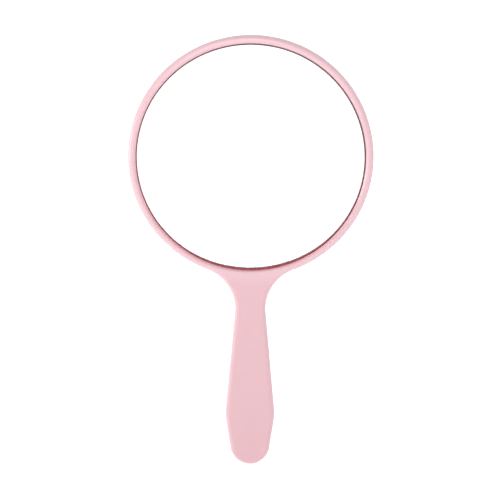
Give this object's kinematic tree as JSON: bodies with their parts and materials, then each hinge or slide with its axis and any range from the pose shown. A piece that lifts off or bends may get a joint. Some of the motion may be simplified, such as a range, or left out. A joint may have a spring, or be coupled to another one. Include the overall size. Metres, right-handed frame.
{
  "type": "hand mirror",
  "caption": "Round hand mirror: a flat glass set in a smooth plastic rim with a flared, rounded handle, made as two shells closed on a middle parting line.",
  "frame": {"origin": "middle of the grip, halfway between the narrow neck and the end of the handle, on the parting plane", "axes": "the glass faces -Y, the handle points down along -Z, and +X is to the right when the glass faces the viewer"},
  "size_m": [0.15, 0.0086, 0.2717],
  "materials": {
    "front_plastic": "satin moulded pink",
    "rear_plastic": "satin moulded pink",
    "mirror_glass": "clear float glass, ground edge",
    "silver": "silvered, painted behind",
    "tape_foam": "white closed-cell foam tape",
    "pad_foam": "dark closed-cell foam"
  },
  "bodies": {
    "root": {"front_frame": "front_plastic", "rear_cover": "rear_plastic", "mirror_glass": "mirror_glass", "silver_backing": "silver", "seat_tape": "tape_foam", "foam_pad_middle": "pad_foam", "foam_pad_1": "pad_foam", "foam_pad_2": "pad_foam", "foam_pad_3": "pad_foam", "foam_pad_4": "pad_foam"}
  },
  "joints": []
}
